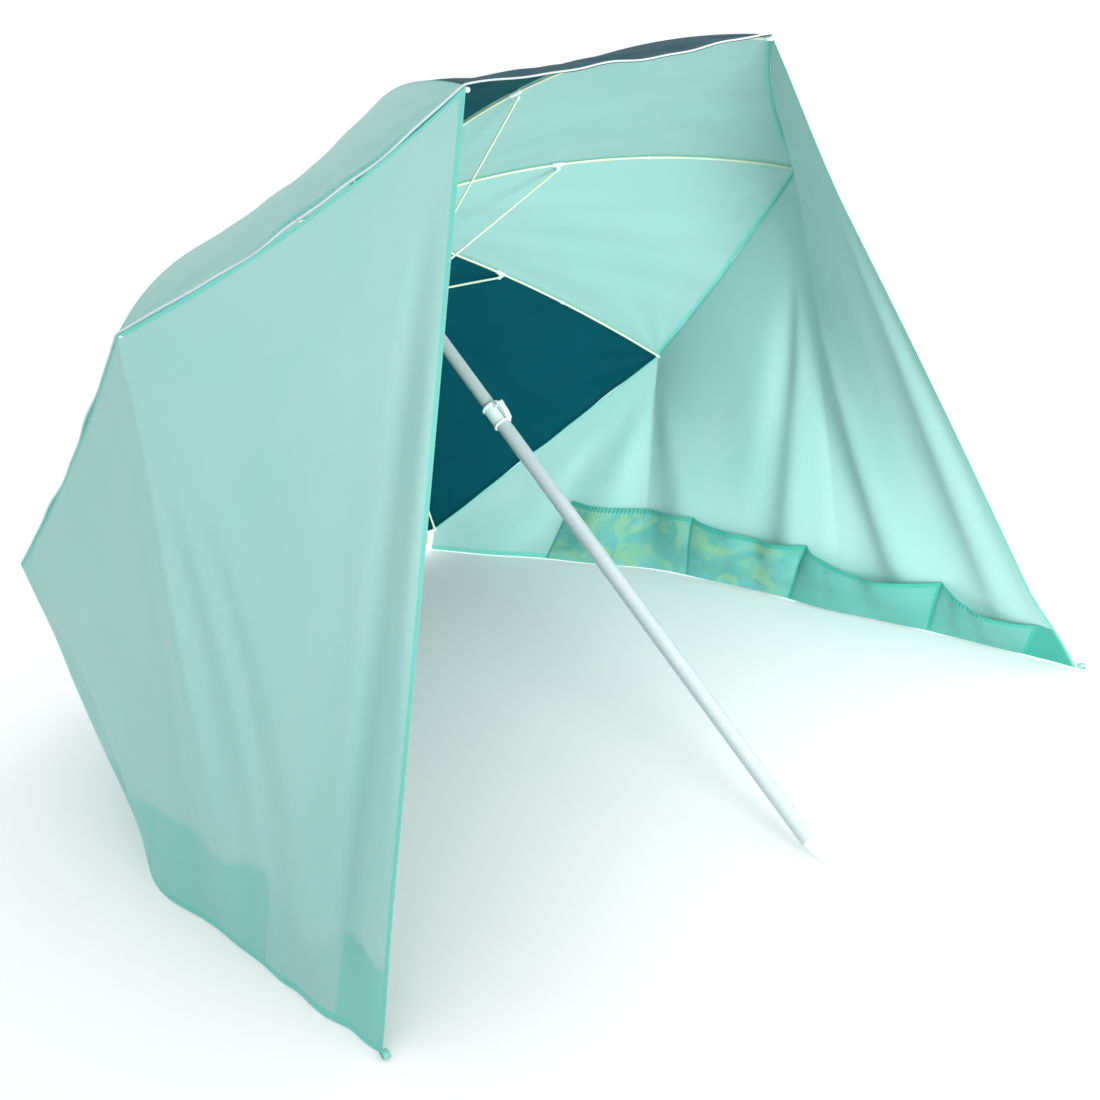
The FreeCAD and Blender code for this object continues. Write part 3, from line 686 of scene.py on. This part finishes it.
# %% The cloths
PALE_MINT = srgb(160, 208, 203)
WALL_MINT = srgb(172, 215, 210)
HEM_MINT = srgb(108, 214, 200)
# a darker mint for the crease clouds, the stitches and the corner loops, and the painted shade
# where a pocket lies behind a wall
TONE_AND_SHADE_MINT = srgb(142, 214, 204)
POCKET_MINT = srgb(116, 194, 184)
DEEP_MINT = srgb(58, 186, 168)
PETROL = srgb(0, 82, 94)
PETROL_DEEP = srgb(0, 68, 80)
PRINT_LEAF = srgb(186, 226, 160)
PRINT_AQUA = srgb(120, 208, 214)


def new_material(name):
    made = bpy.data.materials.new(name)
    made.use_nodes = True
    tree = made.node_tree
    tree.nodes.clear()
    return made, tree


def cloth_material(name, colour, hem, backed, glow=0.30, seams=0.5, crease_scale=7.0, sheen=0.2,
                   gloss=0.30, wash=0.30, printed=False):
    """Thin woven cloth. The colour turns to `hem` within 10 mm of an edge and beside seams,
    and to `backed`, as a painted shade, where a second layer lies behind and darkens the light
    that comes through; on printed cloth that mark places the print instead. Light comes
    through it by `glow`, and is paler than the cloth by `wash`."""
    made, tree = new_material(name)
    uv = add(tree, "UVMap", uv_map="cloth").outputs[0]
    marks = {m: add(tree, "Attribute", attribute_name=m).outputs["Fac"]
             for m in ("hem", "seam", "backed", "gathered")}
    woven = use(tree, weave, Place=uv, Pitch=0.0009)
    soft = use(tree, creases, Place=uv, Scale=crease_scale)
    shade = blend_colours(tree, calc(tree, "MULTIPLY", soft["Tone"], 0.30), colour, backed)
    if printed:
        spots = add(tree, "TexNoise", {"Vector": uv, "Scale": 13.0, "Detail": 1.0,
                                       "Distortion": 1.6}).outputs[0]
        drops = add(tree, "TexNoise", {"Vector": uv, "Scale": 21.0, "Detail": 0.0,
                                       "Distortion": 0.9}).outputs[0]
        leaf = calc(tree, "MULTIPLY", ramp(tree, spots, 0.46, 0.66), marks["backed"])
        shade = blend_colours(tree, calc(tree, "MULTIPLY", leaf, 0.42), shade, PRINT_LEAF)
        drop = calc(tree, "MULTIPLY", ramp(tree, drops, 0.54, 0.68), marks["backed"])
        shade = blend_colours(tree, calc(tree, "MULTIPLY", drop, 0.4), shade, PRINT_AQUA)
    else:
        # painted shade: the colour darkens where a second layer lies behind the cloth
        shade = blend_colours(tree, marks["backed"], shade, backed)
    shade = blend_colours(tree, calc(tree, "MULTIPLY", marks["gathered"], 0.75), shade, hem)
    hem_band = ramp(tree, marks["hem"], 0.0090, 0.0104, 1.0, 0.0)
    seam_band = ramp(tree, marks["seam"], 0.0030, 0.0042, 1.0, 0.0)
    band = calc(tree, "MAXIMUM", calc(tree, "MULTIPLY", hem_band, 0.8),
                calc(tree, "MULTIPLY", seam_band, seams))
    shade = blend_colours(tree, band, shade, hem)
    split = add(tree, "SeparateXYZ", {0: uv}).outputs
    run = calc(tree, "ADD", split[0], split[1])
    from_hem = calc(tree, "SUBTRACT", marks["hem"], 0.0088)
    from_seam = calc(tree, "SUBTRACT", marks["seam"], 0.0024)
    hem_stitch = use(tree, stitches, From_Line=from_hem, Along=run)
    seam_stitch = use(tree, stitches, From_Line=from_seam, Along=run)
    thread = calc(tree, "MAXIMUM", hem_stitch["Mask"], seam_stitch["Mask"])
    shade = blend_colours(tree, calc(tree, "MULTIPLY", thread, 0.35), shade, backed)
    tint = add(tree, "CombineColor", {i: woven["Shade"] for i in range(3)}).outputs[0]
    final = add(tree, "Mix", {0: 1.0, 6: shade, 7: tint}, data_type="RGBA",
                blend_type="MULTIPLY").outputs[2]
    step = calc(tree, "ADD", calc(tree, "MULTIPLY", band, 0.0004),
                calc(tree, "MULTIPLY", thread, -0.0003))
    height = calc(tree, "ADD", calc(tree, "MULTIPLY", woven["Height"], 0.00006),
                  calc(tree, "MULTIPLY", soft["Height"], 0.0016))
    bump = add(tree, "Bump", {"Strength": 0.55, "Distance": 1.0,
                              "Height": calc(tree, "ADD", height, step)}).outputs[0]
    shell = add(tree, "BsdfPrincipled", {"Base Color": final, "Roughness": 0.52, "Normal": bump,
                                         "Sheen Weight": sheen, "Specular IOR Level": gloss})
    paler = blend_colours(tree, wash, final, (1.0, 1.0, 1.0, 1.0))
    through = add(tree, "BsdfTranslucent", {"Color": paler, "Normal": bump})
    both = add(tree, "MixShader", {0: glow, 1: shell.outputs[0], 2: through.outputs[0]})
    add(tree, "OutputMaterial", {"Surface": both.outputs[0]})
    return made


petrol_cloth = cloth_material("petrol_cloth", PETROL, PETROL_DEEP, PETROL_DEEP, glow=0.25,
                              sheen=0.0, gloss=0.06, wash=0.0)
mint_cloth = cloth_material("mint_cloth", PALE_MINT, HEM_MINT, TONE_AND_SHADE_MINT, wash=0.6)
wall_cloth = cloth_material("wall_cloth", WALL_MINT, HEM_MINT, TONE_AND_SHADE_MINT, glow=0.30,
                            crease_scale=5.0, wash=0.40)
pocket_cloth = cloth_material("pocket_cloth", POCKET_MINT, DEEP_MINT, DEEP_MINT, glow=0.32,
                              seams=0.9, crease_scale=16.0, printed=True)

# %% The hard finishes


def hard_material(name, colour, other, roughness, grain=900.0, bump=0.00002, metal=0.0, coat=0.0,
                  smudged=0.25):
    """Moulded, painted or drawn material: two close colours in smudges, and a fine grain."""
    made, tree = new_material(name)
    place = add(tree, "TexCoord").outputs["Object"]
    worn = use(tree, handled, Place=place, Grain=grain)
    amount = calc(tree, "MULTIPLY", worn["Smudge"], smudged)
    shade = blend_colours(tree, amount, colour, other)
    rough = ramp(tree, worn["Smudge"], 0.0, 1.0, roughness, roughness + 0.12)
    lumps = add(tree, "Bump", {"Strength": 0.6, "Distance": 1.0,
                               "Height": calc(tree, "MULTIPLY", worn["Height"], bump)}).outputs[0]
    shell = add(tree, "BsdfPrincipled", {"Base Color": shade, "Roughness": rough, "Normal": lumps,
                                         "Metallic": metal, "Coat Weight": coat})
    add(tree, "OutputMaterial", {"Surface": shell.outputs[0]})
    return made


white_plastic = hard_material("white_plastic", srgb(226, 240, 238), srgb(196, 222, 220), 0.34,
                              1400.0)
spike_plastic = hard_material("spike_plastic", srgb(216, 234, 233), srgb(178, 200, 198), 0.42,
                              1100.0, bump=0.00004, smudged=0.5)
pole_paint = hard_material("pole_paint", srgb(180, 192, 194), srgb(164, 180, 182), 0.24, 2200.0,
                           bump=0.000008, coat=0.35)
rod_glass = hard_material("rib_rod", srgb(226, 236, 206), srgb(190, 214, 178), 0.30, 1600.0)
strut_glass = hard_material("strut_rod", srgb(222, 232, 208), srgb(198, 214, 186), 0.30, 1600.0)
steel = hard_material("steel", srgb(196, 200, 204), srgb(150, 156, 162), 0.28, 1800.0, metal=1.0)
piping_white = cloth_material("piping_white", srgb(226, 234, 236), srgb(200, 212, 216),
                              srgb(214, 224, 228), glow=0.1)
tab_yellow = cloth_material("tab_yellow", srgb(240, 214, 40), srgb(214, 180, 20),
                            srgb(226, 196, 30), glow=0.15)
print(len(bpy.data.materials), "materials")

# %% [markdown]
# ## Dressing the frame
#
# The pole, the crown, the runner, the ribs and the struts already have the right shapes. They
# only need their finishes, which go into the material slots of their objects.

# %% Finish the carried-over nodes


def dress(node_object, finish):
    """Give a CAD node's object one material, through its slots."""
    if not node_object.material_slots:
        node_object.data.materials.append(finish)
    for place in node_object.material_slots:
        place.link = "OBJECT"
        place.material = finish


def finish_for(name):
    """The finish of a node, from the first words of its name."""
    starts = (("rib_fittings", white_plastic), ("rib_", rod_glass), ("strut_", strut_glass),
              ("ground_spike", spike_plastic), ("lower_tube", pole_paint),
              ("upper_tube", pole_paint),
              ("crown_ring", steel), ("runner_ring", steel), ("collar_lever_pin", steel))
    for start, finish in starts:
        if name.startswith(start):
            return finish
    return white_plastic


for name, node_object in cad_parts.items():
    dress(node_object, finish_for(name))
print("dressed", len(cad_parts), "nodes")

# %% [markdown]
# ## The canopy
#
# The real canopy is sewn from eight panels. A piece here is the cloth on one rib, out to the
# middle of the panel on each side, because that is the cloth that moves with the rib. The two
# halves of a piece belong to two panels, so they can have two colours.

# %% Canopy pieces
DARK_PANELS = (0, 3, 4, 5)
RIM_SHARE = 1.0012
HALF_COLUMNS = 110  # cells across half of a piece


def panel_cloth(panel):
    return petrol_cloth if panel % RIB_COUNT in DARK_PANELS else mint_cloth


def canopy_piece(k):
    """A grid of shares by places across the rib, closer together towards the hem."""
    share = np.linspace(0, 1, 64) ** 0.8
    share = np.concatenate([share[:-8], np.linspace(share[-8], RIM_SHARE, 16)])
    across = np.linspace(-0.5, 0.5, 2 * HALF_COLUMNS + 1)
    s, a = np.meshgrid(share, across, indexing="ij")
    grid = sector_point(k, a, s)
    length = rib_length(k)
    width = 0.03 + 0.56 * s
    uv = np.stack([a * width + 0.7 * k, s * length], -1)
    panel, q = np.where(a < 0, k - 1, k) % RIB_COUNT, np.where(a < 0, 1 + a, a)
    gathered = gather_window(GATHERED_PANEL, q, s) * (panel == GATHERED_PANEL)
    outside = lay(np.array([math.cos(azimuth(k)) * 0.5, math.sin(azimuth(k)) * 0.5, 1.0]))
    mesh = sheet_mesh(f"canopy_sheet_{k}", grid, uv, outside, hem=(RIM_SHARE - s) * length,
                      seam=np.abs(a) * width, backed=np.zeros_like(s), gathered=gathered)
    piece = link(f"canopy_sheet_{k}", mesh, panel_cloth(k - 1), panel_cloth(k))
    columns = np.arange(len(mesh.polygons)) % (len(across) - 1)
    mesh.polygons.foreach_set("material_index", (columns >= HALF_COLUMNS).astype(np.int32))
    thicken(piece)
    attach(piece, f"rib_{k}")
    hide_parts(f"canopy_{k}")
    return piece, sheet_area(grid)


def canopy_piping(k):
    """A narrow tube bound over the hem, of the same sector."""
    across = np.linspace(-0.5, 0.5, 91)
    path = sector_point(k, across, np.full_like(across, 0.9992), 0.0016)
    piece = link(f"hem_piping_{k}", tube_mesh(f"hem_piping_{k}", path, 0.0016), piping_white)
    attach(piece, f"rib_{k}")
    return piece


sheets = []
for k in range(RIB_COUNT):
    canopy, area = canopy_piece(k)
    piping = canopy_piping(k)
    pivot = lay(rib_point(k, np.array(0.0), 0.0))
    for piece in (canopy, piping):
        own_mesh(piece)
    round(rib_length(k) + 0.02, 3)
    sheets.append((canopy.name, round(area, 4)))
print(sheets)

# %% [markdown]
# ## The walls
#
# A wall is cut in strips too, one under each rib tip. Neighbouring strips share the wall's
# formula, so together they read as one sheet of cloth. Marks say how far each point is from
# the nearest edge, for the hems, and where the pockets' second layer lies behind, which the
# wall shows as a painted shade.


def strip_span(k):
    side = RIGHT if k in RIGHT else LEFT
    n = side.index(k)
    return side, max(n - 0.5, 0.0), min(n + 0.5, 3.0)


def strip_places(k, columns, start=None, end=None):
    """Places across a strip, which meets its neighbours."""
    side, first, last = strip_span(k)
    return np.linspace(first if start is None else start, last if end is None else end, columns)


def wall_piece(k):
    side, start, end = strip_span(k)
    place = strip_places(k, 61 if end - start < 0.9 else 111)
    down = np.linspace(0, 1, 121)
    d, p = np.meshgrid(down, place, indexing="ij")
    grid = wall_point(side, p, d)
    height = wall_height(side, p)
    width = PANEL_WIDTH + (FOOT_WIDTH - PANEL_WIDTH) * d
    edge = np.minimum(np.minimum(p * width, (1 - d) * height), d * height + 0.004)
    from_foot = (1 - d) * height
    rise = np.clip(from_foot / pocket_top(side, p), 0, 1)
    at_foot = p + seam_lean(side, p) * rise
    n, u = pocket_phase(side, at_foot)
    top = pocket_top(side, at_foot)
    behind = smooth(top - from_foot, -0.001, 0.001) * (at_foot < POCKET_SEAMS[side][-1])
    seam = np.where(behind > 0.5, np.minimum(u, 1 - u) * 0.25, 1.0) + 0.0012
    uv = np.stack([p * 0.5 + 3 * (side is LEFT), d * height], -1)
    middle = grid[len(down) // 2, len(place) // 2]
    # how strongly the pocket behind darkens the wall: painted shade of the second layer seen
    # through the cloth
    painted_shade_strength = np.where(n == 0, 0.2, 0.9) if side is LEFT else 0.3
    mesh = sheet_mesh(f"wall_sheet_{k}", grid, uv, level_out(middle), hem=edge, seam=seam,
                      backed=behind * painted_shade_strength, gathered=np.zeros_like(d))
    piece = link(f"wall_sheet_{k}", mesh, wall_cloth)
    thicken(piece)
    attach(piece, f"wall_{k}")
    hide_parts(f"wall_{k}")
    anchor = tuple(lay(rib_point(k, np.array(1.0), 0.0)))
    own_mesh(piece)
    area = sheet_area(grid)
    return piece, area


for k in range(RIB_COUNT):
    wall, area = wall_piece(k)
    print(wall.name, round(area, 3), "m2")

# %% Pocket pieces


def pocket_piece(k):
    side, start, end = strip_span(k)
    first = 0.012 if start == 0 else None
    last = min(end, POCKET_SEAMS[side][-1]) if end > POCKET_SEAMS[side][-1] else None
    place = strip_places(k, 131 if start == 0 else 221, first, last)
    rise = np.linspace(0.02, 1, 34)
    r, p = np.meshgrid(rise, place, indexing="ij")
    grid = pocket_point(side, p, r)
    n, u = pocket_phase(side, p)
    top = pocket_top(side, p)
    uv = np.stack([p * 0.45 + 5 * (side is LEFT), r * top], -1)
    seam = np.minimum(np.abs(u), np.abs(1 - u)) * np.diff(SEAM_LENGTHS[side])[n]
    patched = np.isin(n, (0, 2, 3)) * np.where(n == 0, p < POCKET_SEAMS[side][0], True)
    mesh = sheet_mesh(f"pocket_sheet_{k}", grid, uv, -level_out(grid[0, len(place) // 2]),
                      hem=(1 - r) * top, seam=seam, backed=patched.astype(float),
                      gathered=np.zeros_like(r))
    piece = link(f"pocket_sheet_{k}", mesh, pocket_cloth)
    thicken(piece)
    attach(piece, f"wall_{k}")
    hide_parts(f"pocket_{k}")
    anchor = tuple(lay(rib_point(k, np.array(1.0), 0.0)))
    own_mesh(piece)
    return piece


for k in (0, 7, 6, 1, 2, 3):
    print(pocket_piece(k).name)

# %% [markdown]
# ## Small sewn parts
#
# A woven tab hangs beside the rear right tip, a webbing loop for a peg is sewn to each front
# corner, and a round patch of cloth covers the place where all eight panels meet.

# %% The tab, the corner loops and the crown patch


def size_tab():
    """A folded ribbon, 16 by 24 mm, that curls a little at its foot."""
    top = rim_line(RIGHT, np.array(3.0)) + np.array([-0.014, 0.004, -0.006])
    r, c = np.meshgrid(np.linspace(0, 1, 25), np.linspace(0, 1, 17), indexing="ij")
    curl = 0.0022 * np.sin(2.6 * r) + 0.0006 * np.cos(5 * c)
    grid = top + np.stack([-0.016 * c, curl, -0.024 * r], -1)
    uv = np.stack([0.016 * c, 0.024 * r], -1)
    edge = np.minimum(c, 1 - c) * 0.016 + 0.008
    mesh = sheet_mesh("size_tab_ribbon", grid, uv, (0, 1, 0), hem=edge, seam=np.full_like(c, 1.0),
                      backed=np.zeros_like(c), gathered=np.zeros_like(c))
    piece = thicken(link("size_tab_ribbon", mesh, tab_yellow), 0.0006)
    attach(piece, "wall_5")
    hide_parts("size_tab")


def corner_loop(k, side, lean):
    """A loop of narrow webbing: the ribbon goes out from the corner and comes back."""
    corner = foot_curve(side, np.array(0.0)) + np.array([0, 0, 0.006])
    t, w = np.meshgrid(np.linspace(0, 1, 41), np.linspace(-1, 1, 7), indexing="ij")
    reach = 0.016 * np.sin(np.pi * t)
    rise = 0.0045 * np.sin(2 * np.pi * t)
    out = np.array([lean[0], lean[1], 0.0]) / np.hypot(*lean)
    across = np.array([-out[1], out[0], 0.0])
    grid = corner + out * reach[..., None] + across * (0.005 * w)[..., None]
    grid = grid + np.array([0, 0, 1.0]) * rise[..., None]
    uv = np.stack([0.035 * t, 0.005 * w], -1)
    mesh = sheet_mesh(f"corner_loop_{k}", grid, uv, (0, 0, 1), hem=np.full_like(t, 1.0),
                      seam=np.full_like(t, 1.0), backed=np.ones_like(t), gathered=np.zeros_like(t))
    piece = thicken(link(f"corner_loop_{k}", mesh, wall_cloth), 0.0010)
    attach(piece, f"wall_{k}")


def crown_patch():
    """A shallow round cap: height falls with the square of the radius."""
    t, r = np.meshgrid(np.linspace(0, 2 * np.pi, 49), np.linspace(0.012, 0.040, 12), indexing="ij")
    z = CROWN_HEIGHT + 0.0078 - 2.52 * (r - 0.012) ** 2
    grid = lay(np.stack([r * np.cos(t), r * np.sin(t), z], -1))
    uv = np.stack([r * np.cos(t), r * np.sin(t)], -1)
    mesh = sheet_mesh("crown_patch", grid, uv, lay(np.array([0, 0, 1.0])), hem=(0.040 - r) + 0.006,
                      seam=np.full_like(r, 1.0), backed=np.zeros_like(r), gathered=np.zeros_like(r))
    piece = thicken(link("crown_patch", mesh, petrol_cloth), 0.0007)
    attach(piece, "upper_pole")


size_tab()
corner_loop(0, RIGHT, (0.5, -1.0))
corner_loop(1, LEFT, (-0.2, -1.0))
crown_patch()

# %% [markdown]
# ## Floor, and the end
#
# The floor is plain and pale.

# %% Floor
FLOOR_HALF = 30.0


def floor():
    corners = FLOOR_HALF * np.array([(-1, -1, 0), (1, -1, 0), (1, 1, 0), (-1, 1, 0)], float)
    mesh = fill_mesh("floor", corners, np.array([[0, 1, 2, 3]]))
    made, tree = new_material("floor_paper")
    place = add(tree, "TexCoord").outputs["Object"]
    fibres = add(tree, "TexNoise", {"Vector": place, "Scale": 3.0, "Detail": 2.0}).outputs[0]
    shade = blend_colours(tree, fibres, (0.96, 0.96, 0.96, 1), (0.98, 0.98, 0.98, 1))
    paper = add(tree, "BsdfPrincipled", {"Base Color": shade, "Roughness": 0.9})
    add(tree, "OutputMaterial", {"Surface": paper.outputs[0]})
    link("floor", mesh, made)


floor()
